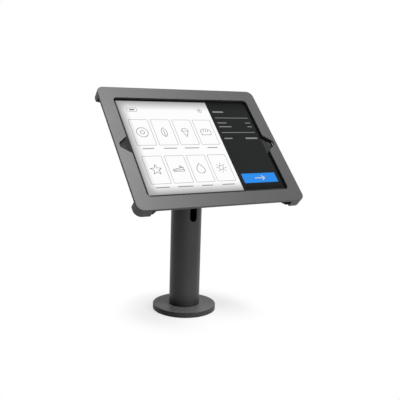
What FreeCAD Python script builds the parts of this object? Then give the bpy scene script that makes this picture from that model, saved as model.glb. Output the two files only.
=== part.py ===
import FreeCAD, Part
import math
import os

# Tablet kiosk enclosure on a round pole. Millimetres, +Z up, the screen faces -Y.
# The origin lies on the pole's axis, at the underside of the base pad.
# The head is drawn in its own frame: X to the viewer's right, Y up along the screen,
# Z out of the screen, with its origin on the tilt pivot. It is then leaned back into place.

# Fits
press_gap = 0.03
running_gap = 0.05
soft_gap = 0.3

# Base
base_diameter = 100.0
base_thickness = 8.0
base_edge_round = 1.0
pad_inset = 2.0
pad_thickness = 1.0
pad_hole_clearance = 1.9
cable_bore_diameter = 15.0
base_bolt_circle = 76.0
base_bolt_count = 4
base_bolt_diameter = 6.0
base_bolt_depth = 6.0

# Swivel at the foot of the pole
hub_diameter = 32.0
hub_above_nut = 1.35
hub_screw_edge = 3.6
hub_screw_count = 3
hub_screw_diameter = 4.0
hub_screw_head_diameter = 7.4
hub_screw_depth = 10.0
hub_screw_socket = 2.5
hub_screw_socket_depth = 2.0
foot_washer_thickness = 0.6
bush_wall = 1.4
bush_height = 10.0
plug_land = 1.6
groove_depth = 2.0
groove_stop_angle = 20.0
spring_washer_thickness = 1.0
spring_washer_play = 0.5
nut_height = 6.0
nut_tube_gap = 0.7
nut_notch_width = 5.0
nut_notch_depth = 2.0
nut_notch_count = 4

# Pole
pole_diameter = 48.0
pole_wall = 2.5
pole_length = 230.0
slot_width = 12.0
slot_length = 94.0
pivot_below_top = 14.2
grub_screw_diameter = 4.0
stop_screw_diameter = 5.0
stop_tip_diameter = 3.6
stop_tip_gap = 0.4
stop_tip_play = 0.45
grub_screw_angle = 40.0
foot_screw_height = 5.4
head_screw_rise = 3.7
grub_recess = 1.0
grub_length = 4.0
grub_socket_depth = 2.0

# Clevis block and tilt pivot
clevis_floor = 7.1
cap_thickness = 3.0
cap_edge_round = 0.8
pivot_bolt_diameter = 8.0
pivot_head_diameter = 13.0
pivot_head_height = 6.0
pivot_head_clearance = 0.7
pivot_socket = 5.0
pivot_socket_depth = 3.0
counterbore_inner = 14.5
access_hole_margin = 0.1
friction_washer_inset = 1.0
friction_washer_thickness = 1.0
disc_spring_thickness = 0.6
disc_spring_count = 2
pivot_nut_height = 4.8
nut_slot_width = 1.6
nut_slot_depth = 1.4

# Tilt arm and screen rotation
screen_tilt = 45.0
arm_length = 35.0
arm_eye_diameter = 26.0
flange_diameter = 64.0
flange_thickness = 6.0
flange_fillet = 3.0
spigot_diameter = 20.0
rotation_washer_groove_gap = 1.8
rotation_washer_thickness = 0.95
retainer_washer_thickness = 0.5
retainer_diameter = 30.0
retainer_thickness = 1.5
rotation_screw_diameter = 6.0
rotation_screw_depth = 14.0
rotation_head_diameter = 11.0
rotation_head_height = 2.5
rotation_socket = 4.0
rotation_socket_depth = 2.0
stop_pin_diameter = 4.0
stop_pin_inset = 6.0
stop_pin_angle = 180.0
stop_groove_depth = 3.0
stop_groove_gap = 0.2
rotation_travel = 90.0

# VESA plate
vesa_spacing = 100.0
vesa_inner_spacing = 75.0
vesa_plate_margin = 9.0
vesa_plate_thickness = 3.0
vesa_plate_round = 6.0
vesa_screw_diameter = 4.0
vesa_hole_diameter = 4.4
vesa_head_diameter = 8.0
vesa_head_height = 2.4
vesa_socket = 2.5
vesa_socket_depth = 1.8

# Front frame
frame_margin_x = 5.9
frame_margin_y = 12.9
frame_round = 11.0
frame_thickness = 3.5
frame_edge_round = 0.6
frame_wall = 2.5
wall_run_x = 22.5
wall_run_y = 17.0
window_margin_x = 4.4
window_margin_y = 5.8
window_round = 6.5
notch_mouth = 31.2
notch_tip = 7.0
notch_from_edge = 0.1
notch_round = 4.0
boss_diameter = 8.0
boss_from_side = 11.0
boss_tablet_gap = 1.2
bracket_screw_diameter = 3.5
bracket_screw_head_diameter = 6.8
bracket_screw_head_height = 1.9
bracket_screw_length = 10.0
bracket_screw_socket = 2.5
bracket_screw_socket_depth = 1.6

# Back bracket
bracket_thickness = 3.0
bracket_gap = 0.2
waist_inset_x = 17.7
waist_inset_y = 23.5
ear_angle_x = 33.0
ear_angle_y = 10.0
retainer_clearance = 2.0
vent_width = 5.0
vent_length = 70.0
vent_pitch = 9.0
vent_count = 3
vent_first_x = 66.0
cable_notch_width = 20.0
cable_notch_length = 26.0

# Pads and gasket
back_pad_thickness = 1.0
gasket_thickness = 0.5
gasket_inset = 2.0
gasket_window_gap = 1.0
corner_pad_run_x = 11.0
corner_pad_run_y = 6.5
pad_strip_width = 12.0
long_pad_end_room = 56.0
long_pad_inset = 12.0
short_pad_length = 40.0
short_pad_inset = 12.8
short_pad_y = 45.0

# Tablet
tablet_width = 262.0
tablet_height = 198.0
tablet_round = 10.0
tablet_thickness = 7.0
tablet_back_round = 2.0
shell_wall = 1.6
shell_floor = 1.4
glass_thickness = 1.0
bezel_x = 19.0
bezel_y = 14.0
display_thickness = 2.0
display_round = 1.0
battery_gap = 4.0
battery_board_gap = 3.0
battery_from_edge = 40.0
battery_end_room = 29.0
board_width = 36.0
board_end_room = 24.0
board_thickness = 0.8
board_from_edge = 41.0
inside_round = 2.0
chip_size = 16.0
chip_height = 0.8
chip_places = (-45.0, -10.0, 30.0)
home_from_edge = 9.0
home_diameter = 11.0
home_height = 1.8
home_travel = 0.4
home_flange_diameter = 12.8
home_flange_height = 0.85
home_recess = 0.1
lens_from_edge = 8.0
lens_diameter = 4.0
lens_depth = 2.0
port_width = 9.0
port_length = 5.5
port_height = 2.2
port_mouth_width = 7.4
port_mouth_height = 1.2
port_mouth_depth = 4.0
side_button_width = 2.6
side_button_stand = 0.7
side_button_flange = 0.8
side_button_lip = 0.5
side_button_travel = 0.5
switch_size = 3.0
switch_gap = 0.1
home_switch_diameter = 6.0
side_button_round = 0.78
power_button_length = 14.0
power_button_from_top = 23.0
volume_button_length = 13.0
volume_button_from_side = 38.0
volume_button_pitch = 18.0

# Levels of the stand, from the surface it stands on
base_bottom = pad_thickness
base_top = base_bottom + base_thickness
pole_bottom = base_top + foot_washer_thickness
bush_top = pole_bottom + bush_height
pole_top = pole_bottom + pole_length
pivot_height = pole_top - pivot_below_top
slot_bottom = pole_top - slot_length
pole_radius = pole_diameter / 2
pole_bore_radius = pole_radius - pole_wall
hub_radius = hub_diameter / 2
groove_height = stop_tip_diameter + 2 * stop_tip_play
groove_z = bush_top + soft_gap + plug_land
stop_screw_z = groove_z + groove_height / 2
foot_plug_top = groove_z + groove_height + plug_land
spring_washer_z = foot_plug_top + running_gap
nut_z = spring_washer_z + spring_washer_thickness
hub_top = nut_z + nut_height + hub_above_nut
foot_screw_z = pole_bottom + foot_screw_height
arm_eye_radius = arm_eye_diameter / 2
clevis_floor_z = pivot_height - arm_eye_radius - soft_gap
clevis_bottom = clevis_floor_z - clevis_floor
head_screw_z = clevis_bottom + head_screw_rise
cable_bore_radius = cable_bore_diameter / 2
hub_screw_radius = hub_radius - hub_screw_edge
hub_screw_head_radius = hub_screw_head_diameter / 2
arm_thickness = slot_width - 2 * (friction_washer_thickness + running_gap)
nut_inner_x = counterbore_inner + disc_spring_count * disc_spring_thickness
nut_outer_x = nut_inner_x + pivot_nut_height
counterbore_radius = pivot_head_diameter / 2 + pivot_head_clearance

# Levels of the head, along the screen's normal from the pivot
flange_back_z = arm_length
flange_front_z = flange_back_z + flange_thickness
vesa_back_z = flange_front_z + rotation_washer_thickness + running_gap
bracket_back_z = vesa_back_z + vesa_plate_thickness
bracket_front_z = bracket_back_z + bracket_thickness
tablet_back_z = bracket_front_z + back_pad_thickness
glass_front_z = tablet_back_z + tablet_thickness
glass_back_z = glass_front_z - glass_thickness
frame_back_z = glass_front_z + gasket_thickness
front_z = frame_back_z + frame_thickness
spigot_top_z = bracket_back_z + running_gap * 2 + retainer_washer_thickness
retainer_top_z = spigot_top_z + retainer_thickness
shell_inner_z = tablet_back_z + shell_floor
display_bottom_z = glass_back_z - display_thickness
side_button_z = (shell_inner_z + glass_back_z) / 2

# Outlines of the head, out from its middle
half_tablet_x = tablet_width / 2
half_tablet_y = tablet_height / 2
half_frame_x = half_tablet_x + frame_margin_x
half_frame_y = half_tablet_y + frame_margin_y
half_display_x = half_tablet_x - bezel_x
half_display_y = half_tablet_y - bezel_y
half_window_x = half_display_x + window_margin_x
half_window_y = half_display_y + window_margin_y
wall_end_x = half_frame_x - wall_run_x
wall_end_y = half_frame_y - wall_run_y
waist_half_x = half_frame_x - waist_inset_x
waist_half_y = half_frame_y - waist_inset_y
boss_x = half_tablet_x - boss_from_side
boss_y = half_tablet_y + boss_tablet_gap + boss_diameter / 2
home_x = half_tablet_x - home_from_edge
lens_x = lens_from_edge - half_tablet_x
board_x = board_from_edge - half_tablet_x
battery_left_x = board_x + board_width / 2 + battery_board_gap
battery_width = (half_tablet_x - battery_from_edge - battery_left_x - battery_gap) / 2
long_pad_reach = half_tablet_x - long_pad_end_room
notch_reach = half_tablet_x - notch_from_edge
power_button_y = half_tablet_y - power_button_from_top
stop_pin_radius = flange_diameter / 2 - stop_pin_inset
stop_groove_half = stop_pin_diameter / 2 + stop_groove_gap
corners = [(-1, -1), (-1, 1), (1, -1), (1, 1)]

up = FreeCAD.Vector(0, 0, 1)
along_x = FreeCAD.Vector(1, 0, 0)
along_y = FreeCAD.Vector(0, 1, 0)


def rod(radius, start, direction, length):
    """A cylinder from start, along direction."""
    return Part.makeCylinder(radius, length, FreeCAD.Vector(*start), FreeCAD.Vector(*direction))


def disc(radius, low, high, x=0.0, y=0.0):
    """An upright cylinder between two levels."""
    return rod(radius, (x, y, low), (0, 0, 1), high - low)


def ring(outer, inner, low, high, x=0.0, y=0.0):
    """An upright tube between two levels."""
    return disc(outer, low, high, x, y).cut(disc(inner, low, high, x, y))


def cone(low_radius, high_radius, low, high, x=0.0, y=0.0):
    """An upright cone between two levels."""
    return Part.makeCone(low_radius, high_radius, high - low, FreeCAD.Vector(x, y, low), up)


def block(x0, x1, y0, y1, z0, z1):
    """A box between two corners."""
    return Part.makeBox(x1 - x0, y1 - y0, z1 - z0, FreeCAD.Vector(x0, y0, z0))


def rounded_slab(width, height, radius, low, high, x=0.0, y=0.0):
    """A slab with rounded upright edges, centred on x and y."""
    slab = block(x - width / 2, x + width / 2, y - height / 2, y + height / 2, low, high)
    uprights = [edge for edge in slab.Edges if is_upright(edge)]
    return slab.makeFillet(radius, uprights)


def is_upright(edge):
    """True for a straight edge along Z."""
    low, high = edge.Vertexes[0].Point, edge.Vertexes[-1].Point
    return abs(low.x - high.x) < 1e-6 and abs(low.y - high.y) < 1e-6


def prism(points, low, high):
    """A polygon of (x, y) points, raised between two levels."""
    outline = [FreeCAD.Vector(x, y, low) for x, y in points]
    face = Part.Face(Part.makePolygon(outline + outline[:1]))
    return face.extrude(up * (high - low))


def hexagon(across_flats, low, high, x=0.0, y=0.0):
    """A hexagonal prism, for a driver's socket."""
    reach = across_flats / math.sqrt(3)
    angles = [math.radians(60 * k) for k in range(6)]
    points = [(x + reach * math.cos(a), y + reach * math.sin(a)) for a in angles]
    return prism(points, low, high)


def turned(shape, axis, degrees, centre=(0, 0, 0)):
    """A copy of the shape, turned about an axis through centre."""
    copy = shape.copy()
    copy.rotate(FreeCAD.Vector(*centre), axis, degrees)
    return copy


def around(shape, count, first=0.0):
    """Copies of a shape, spread evenly about the Z axis."""
    return [turned(shape, up, first + 360.0 * k / count) for k in range(count)]


def cut_all(shape, tools):
    """The shape less each of the tools."""
    for tool in tools:
        shape = shape.cut(tool)
    return shape


def fuse_all(shapes):
    """The shapes joined into one."""
    whole = shapes[0]
    for other in shapes[1:]:
        whole = whole.fuse(other)
    return whole.removeSplitter()


def filleted(shape, radius, test):
    """The shape with each edge that passes the test rounded."""
    return shape.makeFillet(radius, [edge for edge in shape.Edges if test(edge)])


def lies_at(edge, level):
    """True for an edge that lies flat at a level."""
    box = edge.BoundBox
    return abs(box.ZMin - level) < 1e-4 and abs(box.ZMax - level) < 1e-4


def head(shape):
    """The shape moved from the head's own frame into place on the pole."""
    place = FreeCAD.Placement(FreeCAD.Vector(0, 0, pivot_height),
                              FreeCAD.Rotation(along_x, 90 - screen_tilt))
    copy = shape.copy()
    copy.Placement = place.multiply(copy.Placement)
    return copy


def save(name, *solids):
    """Write one node's solids to its file."""
    shape = solids[0] if len(solids) == 1 else Part.makeCompound(list(solids))
    shape.exportStep("parts/" + name + ".step")
    print(name, "solids", len(shape.Solids), "volume", round(shape.Volume, 1), shape.isValid())


# Base

def base_bolt_holes(diameter, low, high):
    return around(disc(diameter / 2, low, high, x=base_bolt_circle / 2), base_bolt_count, 45)


def hub_screw_shapes(radius, low, high):
    return around(disc(radius, low, high, x=hub_screw_radius), hub_screw_count, 90)


def make_base_pad():
    hole_radius = hub_screw_radius + hub_screw_head_radius + pad_hole_clearance
    pad = ring(base_diameter / 2 - pad_inset, hole_radius, 0, pad_thickness)
    return cut_all(pad, base_bolt_holes(base_bolt_diameter, 0, pad_thickness))


def hub_screw_cone(gap):
    """The countersunk head's cone at the base's underside, with its clearance."""
    radius = hub_screw_diameter / 2
    return cone(hub_screw_head_radius + gap, radius + gap, base_bottom,
                base_bottom + hub_screw_head_radius - radius, x=hub_screw_radius)


def make_base_plate():
    plate = disc(base_diameter / 2, base_bottom, base_top)
    plate = filleted(plate, base_edge_round, lambda edge: lies_at(edge, base_top))
    tools = [disc(cable_bore_radius, base_bottom, base_top)]
    tools += base_bolt_holes(base_bolt_diameter, base_bottom, base_bottom + base_bolt_depth)
    tools += hub_screw_shapes(hub_screw_diameter / 2 + press_gap, base_bottom, base_top)
    tools += around(hub_screw_cone(press_gap), hub_screw_count, 90)
    return cut_all(plate, tools)


def make_hub():
    hub = ring(hub_radius, cable_bore_radius, base_top, hub_top)
    groove = ring(hub_radius + 1, hub_radius - groove_depth, groove_z, groove_z + groove_height)
    half = groove_stop_angle / 2
    reach = hub_radius * 2
    side = reach * math.tan(math.radians(half))
    stop = prism([(0, 0), (-side, -reach), (side, -reach)], groove_z, groove_z + groove_height)
    hub = hub.cut(groove.cut(stop))
    thread_radius = hub_screw_diameter / 2 + press_gap
    return cut_all(hub, hub_screw_shapes(thread_radius, base_top, base_top + hub_screw_depth))


def make_hub_screws():
    shank = disc(hub_screw_diameter / 2, base_bottom, base_top + hub_screw_depth - soft_gap,
                 x=hub_screw_radius)
    screw = shank.fuse(hub_screw_cone(0))
    socket = hexagon(hub_screw_socket, base_bottom, base_bottom + hub_screw_socket_depth,
                     x=hub_screw_radius)
    return around(screw.cut(socket), hub_screw_count, 90)


def make_foot_washer():
    return ring(pole_radius, hub_radius + soft_gap, base_top, pole_bottom)


# Foot of the pole

def radial_screw(diameter, inner, outer, level, angle):
    """A grub screw pointing at the pole's axis, with its socket, at an angle from the back."""
    screw = rod(diameter / 2, (0, inner, level), (0, 1, 0), outer - inner)
    socket = turned(hexagon(diameter / 2, 0, grub_socket_depth), along_x, -90)
    socket.translate(FreeCAD.Vector(0, outer - grub_socket_depth, level))
    return turned(screw.cut(socket), up, angle)


def radial_hole(diameter, inner, outer, level, angle):
    """A hole that points at the pole's axis, at an angle from the back."""
    return turned(rod(diameter / 2, (0, inner, level), (0, 1, 0), outer - inner), up, angle)


def grub_screws(level):
    """The two grub screws that hold the tube to the plug inside it."""
    outer = pole_radius - grub_recess
    inner = outer - grub_length
    return [radial_screw(grub_screw_diameter, inner, outer, level, angle)
            for angle in (-grub_screw_angle, grub_screw_angle)]


def grub_holes(level):
    """The two tapped holes for the grub screws, open at the tube's outside."""
    inner = pole_radius - grub_recess - grub_length - soft_gap
    return [radial_hole(grub_screw_diameter + 2 * press_gap, inner, pole_radius + 1, level, angle)
            for angle in (-grub_screw_angle, grub_screw_angle)]


def make_foot_plug():
    plug = ring(pole_bore_radius - press_gap, hub_radius + 2 * soft_gap, pole_bottom, foot_plug_top)
    bush_bore = hub_radius + running_gap + bush_wall + press_gap
    tools = [disc(bush_bore, pole_bottom, bush_top + soft_gap)]
    tools += [radial_hole(stop_screw_diameter + 2 * press_gap, hub_radius, pole_radius, stop_screw_z, 0)]
    tools += grub_holes(foot_screw_z)
    return cut_all(plug, tools)


def make_swivel_bush():
    inner = hub_radius + running_gap
    return ring(inner + bush_wall, inner, pole_bottom + soft_gap, bush_top)


def make_stop_screw():
    outer = pole_radius - grub_recess
    shoulder = hub_radius + 2 * soft_gap
    body = radial_screw(stop_screw_diameter, shoulder, outer, stop_screw_z, 0)
    tip_start = hub_radius - groove_depth + stop_tip_gap
    tip = rod(stop_tip_diameter / 2, (0, tip_start, stop_screw_z), (0, 1, 0), shoulder - tip_start)
    return body.fuse(tip).removeSplitter()


def make_foot_screws():
    return grub_screws(foot_screw_z)


def make_spring_washer():
    """A wave washer, flattened by the nut's load."""
    outer = pole_bore_radius - spring_washer_play
    return ring(outer, hub_radius + spring_washer_play, spring_washer_z, nut_z)


def make_retaining_nut():
    reach = pole_bore_radius - nut_tube_gap
    nut = ring(reach, hub_radius + press_gap, nut_z, nut_z + nut_height)
    notch = block(-nut_notch_width / 2, nut_notch_width / 2, reach - nut_notch_depth, reach + 1,
                  nut_z, nut_z + nut_height)
    return cut_all(nut, around(notch, nut_notch_count))


# Pole

def front_slot():
    """The cable slot at the pole's front, round at its foot and open at its top."""
    radius = slot_width / 2
    inner = pole_bore_radius - pole_wall * 2
    straight = block(-radius, radius, -pole_radius - 1, -inner, slot_bottom + radius, pole_top + 1)
    end = rod(radius, (0, -pole_radius - 1, slot_bottom + radius), (0, 1, 0), pole_radius + 1 - inner)
    return straight.fuse(end)


def make_pole_tube():
    tube = ring(pole_radius, pole_bore_radius, pole_bottom, pole_top)
    inner = pole_bore_radius - 1
    outer = pole_radius + 1
    tools = [front_slot()]
    tools += [rod(counterbore_radius + access_hole_margin, (-outer, 0, pivot_height), (1, 0, 0), 2 * outer)]
    tools += [radial_hole(stop_screw_diameter + 2 * press_gap, inner, outer, stop_screw_z, 0)]
    return cut_all(tube, tools + grub_holes(foot_screw_z) + grub_holes(head_screw_z))


# Clevis block and pivot

def make_clevis_block():
    plug = disc(pole_bore_radius - press_gap, clevis_bottom, pole_top)
    cap = disc(pole_radius, pole_top, pole_top + cap_thickness)
    cap = filleted(cap, cap_edge_round, lambda edge: lies_at(edge, pole_top + cap_thickness))
    body = plug.fuse(cap)
    arm_slot = block(-slot_width / 2, slot_width / 2, -pole_radius - 1, arm_eye_radius + soft_gap,
                     clevis_floor_z, pole_top + cap_thickness + 1)
    bolt_bore = rod(pivot_bolt_diameter / 2 + running_gap, (-pole_radius, 0, pivot_height), (1, 0, 0),
                    pole_diameter)
    tools = [arm_slot, bolt_bore]
    for sign in (-1, 1):
        tools.append(rod(counterbore_radius, (sign * counterbore_inner, 0, pivot_height), (sign, 0, 0),
                         pole_radius))
    return cut_all(body, tools + grub_holes(head_screw_z)).removeSplitter()


def make_head_screws():
    return grub_screws(head_screw_z)


def across(shape):
    """A shape drawn along Z, laid along X at the pivot's height."""
    copy = turned(shape, along_y, 90)
    copy.translate(FreeCAD.Vector(0, 0, pivot_height))
    return copy


def make_pivot_bolt():
    shank = disc(pivot_bolt_diameter / 2, -counterbore_inner, nut_outer_x - nut_slot_depth)
    head_end = -counterbore_inner - pivot_head_height
    bolt_head = disc(pivot_head_diameter / 2, head_end, -counterbore_inner)
    socket = hexagon(pivot_socket, head_end, head_end + pivot_socket_depth)
    return across(shank.fuse(bolt_head).cut(socket))


def make_disc_springs():
    springs = []
    for k in range(disc_spring_count):
        low = counterbore_inner + k * disc_spring_thickness
        springs.append(across(ring(pivot_head_diameter / 2, pivot_bolt_diameter / 2 + running_gap,
                                   low, low + disc_spring_thickness)))
    return springs


def make_pivot_nut():
    nut = ring(pivot_head_diameter / 2, pivot_bolt_diameter / 2 + press_gap, nut_inner_x, nut_outer_x)
    reach = pivot_head_diameter
    slot = block(-nut_slot_width / 2, nut_slot_width / 2, -reach, reach,
                 nut_outer_x - nut_slot_depth, nut_outer_x)
    return across(nut.cut(slot))


def make_friction_washers():
    outer = arm_eye_radius - friction_washer_inset
    inner = pivot_bolt_diameter / 2 + running_gap
    cheek = slot_width / 2
    return [across(ring(outer, inner, cheek - friction_washer_thickness, cheek)),
            across(ring(outer, inner, -cheek, -cheek + friction_washer_thickness))]


# Tilt arm and rotation, in the head's frame

def rotation_cone(gap):
    """The rotation screw's countersunk head, with its clearance."""
    return cone(rotation_screw_diameter / 2 + gap, rotation_head_diameter / 2 + gap,
                retainer_top_z - rotation_head_height, retainer_top_z)


def stop_groove():
    """The groove in the flange that the stop pin runs in, round at both ends."""
    low = flange_front_z - stop_groove_depth
    band = ring(stop_pin_radius + stop_groove_half, stop_pin_radius - stop_groove_half, low, flange_front_z)
    start = math.radians(stop_pin_angle)
    end = math.radians(stop_pin_angle + rotation_travel)
    reach = flange_diameter
    middle = (start + end) / 2
    wedge = prism([(0, 0), (reach * math.cos(start), reach * math.sin(start)),
                   (reach * 2 * math.cos(middle), reach * 2 * math.sin(middle)),
                   (reach * math.cos(end), reach * math.sin(end))], low, flange_front_z)
    ends = [disc(stop_groove_half, low, flange_front_z, stop_pin_radius * math.cos(angle),
                 stop_pin_radius * math.sin(angle)) for angle in (start, end)]
    return fuse_all([band.common(wedge)] + ends)


def make_tilt_arm():
    half = arm_thickness / 2
    eye = rod(arm_eye_radius, (-half, 0, 0), (1, 0, 0), arm_thickness)
    web = block(-half, half, -arm_eye_radius, arm_eye_radius, 0, flange_back_z)
    flange = disc(flange_diameter / 2, flange_back_z, flange_front_z)
    body = fuse_all([eye, web, flange])
    body = filleted(body, flange_fillet, lambda edge: lies_at(edge, flange_back_z)
                    and edge.BoundBox.DiagonalLength < flange_diameter * 0.9)
    body = body.fuse(disc(spigot_diameter / 2, flange_front_z, spigot_top_z))
    bore = rod(pivot_bolt_diameter / 2 + running_gap, (-half, 0, 0), (1, 0, 0), arm_thickness)
    thread_radius = rotation_screw_diameter / 2 + press_gap
    thread = disc(thread_radius, spigot_top_z - rotation_screw_depth, spigot_top_z)
    return cut_all(body, [bore, thread, rotation_cone(press_gap), stop_groove()]).removeSplitter()


def make_rotation_washer():
    outer = stop_pin_radius - stop_groove_half - rotation_washer_groove_gap
    return ring(outer, spigot_diameter / 2 + soft_gap, flange_front_z,
                flange_front_z + rotation_washer_thickness)


def make_retainer_washer():
    low = spigot_top_z - retainer_washer_thickness
    return ring(retainer_diameter / 2, spigot_diameter / 2 + soft_gap, low, spigot_top_z)


def make_retainer_disc():
    return disc(retainer_diameter / 2, spigot_top_z, retainer_top_z).cut(rotation_cone(press_gap))


def make_rotation_screw():
    low = spigot_top_z - rotation_screw_depth + soft_gap
    shank = disc(rotation_screw_diameter / 2, low, retainer_top_z)
    screw = shank.fuse(rotation_cone(0))
    return screw.cut(hexagon(rotation_socket, retainer_top_z - rotation_socket_depth, retainer_top_z))


# VESA plate, in the head's frame

def vesa_shapes(radius, low, high, spacing=vesa_spacing):
    half = spacing / 2
    return [disc(radius, low, high, sx * half, sy * half) for sx, sy in corners]


def stop_pin(radius, low, high):
    angle = math.radians(stop_pin_angle)
    return disc(radius, low, high, stop_pin_radius * math.cos(angle), stop_pin_radius * math.sin(angle))


def make_vesa_plate():
    size = vesa_spacing + 2 * vesa_plate_margin
    plate = rounded_slab(size, size, vesa_plate_round, vesa_back_z, bracket_back_z)
    tools = [disc(spigot_diameter / 2 + running_gap, vesa_back_z, bracket_back_z)]
    tools += vesa_shapes(vesa_hole_diameter / 2, vesa_back_z, bracket_back_z)
    tools += vesa_shapes(vesa_hole_diameter / 2, vesa_back_z, bracket_back_z, vesa_inner_spacing)
    tools += [stop_pin(stop_pin_diameter / 2 + press_gap, vesa_back_z, bracket_back_z)]
    return cut_all(plate, tools)


def make_rotation_stop_pin():
    return stop_pin(stop_pin_diameter / 2, flange_front_z - stop_groove_depth + soft_gap, bracket_back_z)


def make_vesa_screws():
    screws = []
    low = vesa_back_z - vesa_head_height
    for sx, sy in corners:
        x, y = sx * vesa_spacing / 2, sy * vesa_spacing / 2
        shank = disc(vesa_screw_diameter / 2, vesa_back_z, bracket_front_z, x, y)
        screw_head = disc(vesa_head_diameter / 2, low, vesa_back_z, x, y)
        socket = hexagon(vesa_socket, low, low + vesa_socket_depth, x, y)
        screws.append(shank.fuse(screw_head).cut(socket))
    return screws


# Front frame, in the head's frame

def window_shape(grow, low, high):
    """The window with its two side notches, each side moved out by grow."""
    half_w = half_window_x + grow
    window = rounded_slab(2 * half_w, 2 * (half_window_y + grow), window_round + grow, low, high)
    mouth = notch_mouth / 2 + grow
    tip = notch_tip / 2 + grow / 2
    reach = notch_reach + grow
    shapes = [window]
    for sign in (-1, 1):
        points = [(sign * (half_w - notch_round), mouth), (sign * half_w, mouth), (sign * reach, tip),
                  (sign * reach, -tip), (sign * half_w, -mouth), (sign * (half_w - notch_round), -mouth)]
        notch = prism(points, low, high)
        tips = [edge for edge in notch.Edges if is_upright(edge)
                and abs(edge.Vertexes[0].Point.x) > reach - 0.01]
        shapes.append(notch.makeFillet(notch_round, tips))
    return fuse_all(shapes)


def frame_slab(inset, low, high):
    """A slab with the frame's outline, drawn in by inset."""
    width, height = 2 * (half_frame_x - inset), 2 * (half_frame_y - inset)
    return rounded_slab(width, height, frame_round - inset, low, high)


def corner_walls():
    """The four rounded walls that run back from the frame's corners."""
    low, high = bracket_back_z, frame_back_z
    walls = frame_slab(0, low, high).cut(frame_slab(frame_wall, low, high))
    open_sides = block(-wall_end_x, wall_end_x, -half_frame_y, half_frame_y, low, high)
    open_ends = block(-half_frame_x, half_frame_x, -wall_end_y, wall_end_y, low, high)
    return cut_all(walls, [open_sides, open_ends])


def make_front_frame():
    plate = frame_slab(0, frame_back_z, front_z)
    plate = filleted(plate, frame_edge_round, lambda edge: lies_at(edge, front_z))
    plate = plate.cut(window_shape(0, frame_back_z, front_z))
    bosses = [disc(boss_diameter / 2, bracket_front_z, frame_back_z, sx * boss_x, sy * boss_y)
              for sx, sy in corners]
    body = fuse_all([plate, corner_walls()] + bosses)
    threads = [disc(bracket_screw_diameter / 2 + press_gap, bracket_front_z,
                    bracket_back_z + bracket_screw_length + soft_gap, sx * boss_x, sy * boss_y)
               for sx, sy in corners]
    return cut_all(body, threads)


# Back bracket, in the head's frame

def bracket_outline():
    """Corner points of the bracket: a waisted plate whose four ears reach into the frame's corners."""
    inset = frame_wall + bracket_gap
    edge_x = half_frame_x - inset
    edge_y = half_frame_y - inset
    start_x = wall_end_x - inset / math.tan(math.radians(ear_angle_x))
    start_y = wall_end_y - inset * math.tan(math.radians(ear_angle_y))
    waist_x = start_x - (edge_y - waist_half_y) / math.tan(math.radians(ear_angle_x))
    waist_y = start_y - (edge_x - waist_half_x) * math.tan(math.radians(ear_angle_y))
    quarter = [(waist_x, waist_half_y), (start_x, edge_y), (edge_x, edge_y), (edge_x, start_y),
               (waist_half_x, waist_y)]
    right = quarter + [(x, -y) for x, y in reversed(quarter)]
    return right + [(-x, y) for x, y in reversed(right)]


def bracket_screw_cone(x, y, gap):
    radius = bracket_screw_diameter / 2
    return cone(bracket_screw_head_diameter / 2 + gap, radius + gap, bracket_back_z,
                bracket_back_z + bracket_screw_head_height, x, y)


def make_back_bracket():
    plate = prism(bracket_outline(), bracket_back_z, bracket_front_z)
    inset = frame_wall + bracket_gap
    outer = [edge for edge in plate.Edges if is_upright(edge)
             and abs(edge.Vertexes[0].Point.x) > half_frame_x - inset - 0.01
             and abs(edge.Vertexes[0].Point.y) > half_frame_y - inset - 0.01]
    plate = plate.makeFillet(frame_round - inset, outer)
    tools = [disc(retainer_diameter / 2 + retainer_clearance, bracket_back_z, bracket_front_z)]
    for spacing in (vesa_spacing, vesa_inner_spacing):
        tools += vesa_shapes(vesa_screw_diameter / 2 + press_gap, bracket_back_z, bracket_front_z, spacing)
    for sx, sy in corners:
        x, y = sx * boss_x, sy * boss_y
        tools.append(disc(bracket_screw_diameter / 2 + press_gap, bracket_back_z, bracket_front_z, x, y))
        tools.append(bracket_screw_cone(x, y, press_gap))
    for sx in (-1, 1):
        for k in range(vent_count):
            tools.append(rounded_slab(vent_width, vent_length, vent_width * 0.499, bracket_back_z,
                                      bracket_front_z, x=sx * (vent_first_x + k * vent_pitch)))
    tools.append(block(waist_half_x - cable_notch_length, waist_half_x + 1, -cable_notch_width / 2,
                       cable_notch_width / 2, bracket_back_z, bracket_front_z))
    return cut_all(plate, tools)


def make_bracket_screws():
    screws = []
    low = bracket_back_z
    for sx, sy in corners:
        x, y = sx * boss_x, sy * boss_y
        shank = disc(bracket_screw_diameter / 2, low, low + bracket_screw_length, x, y)
        socket = hexagon(bracket_screw_socket, low, low + bracket_screw_socket_depth, x, y)
        screws.append(shank.fuse(bracket_screw_cone(x, y, 0)).cut(socket))
    return screws


# Pads and gasket, in the head's frame

def tablet_slab(inset, low, high):
    """A slab with the tablet's outline, drawn in by inset."""
    width, height = 2 * (half_tablet_x - inset), 2 * (half_tablet_y - inset)
    return rounded_slab(width, height, tablet_round - inset, low, high)


def make_corner_pads():
    high = frame_back_z - press_gap
    ears = prism(bracket_outline(), bracket_front_z, high)
    room = ears.common(frame_slab(frame_wall + press_gap, bracket_front_z, high))
    room = room.cut(tablet_slab(-soft_gap, bracket_front_z, high))
    pads = []
    for sx, sy in corners:
        x0, x1 = sorted((sx * (wall_end_x - corner_pad_run_x), sx * half_frame_x))
        y0, y1 = sorted((sy * (wall_end_y - corner_pad_run_y), sy * half_frame_y))
        pad = room.common(block(x0, x1, y0, y1, bracket_front_z, high))
        hole = disc(boss_diameter / 2 + press_gap, bracket_front_z, high, sx * boss_x, sy * boss_y)
        pads.append(pad.cut(hole))
    return pads


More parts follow.
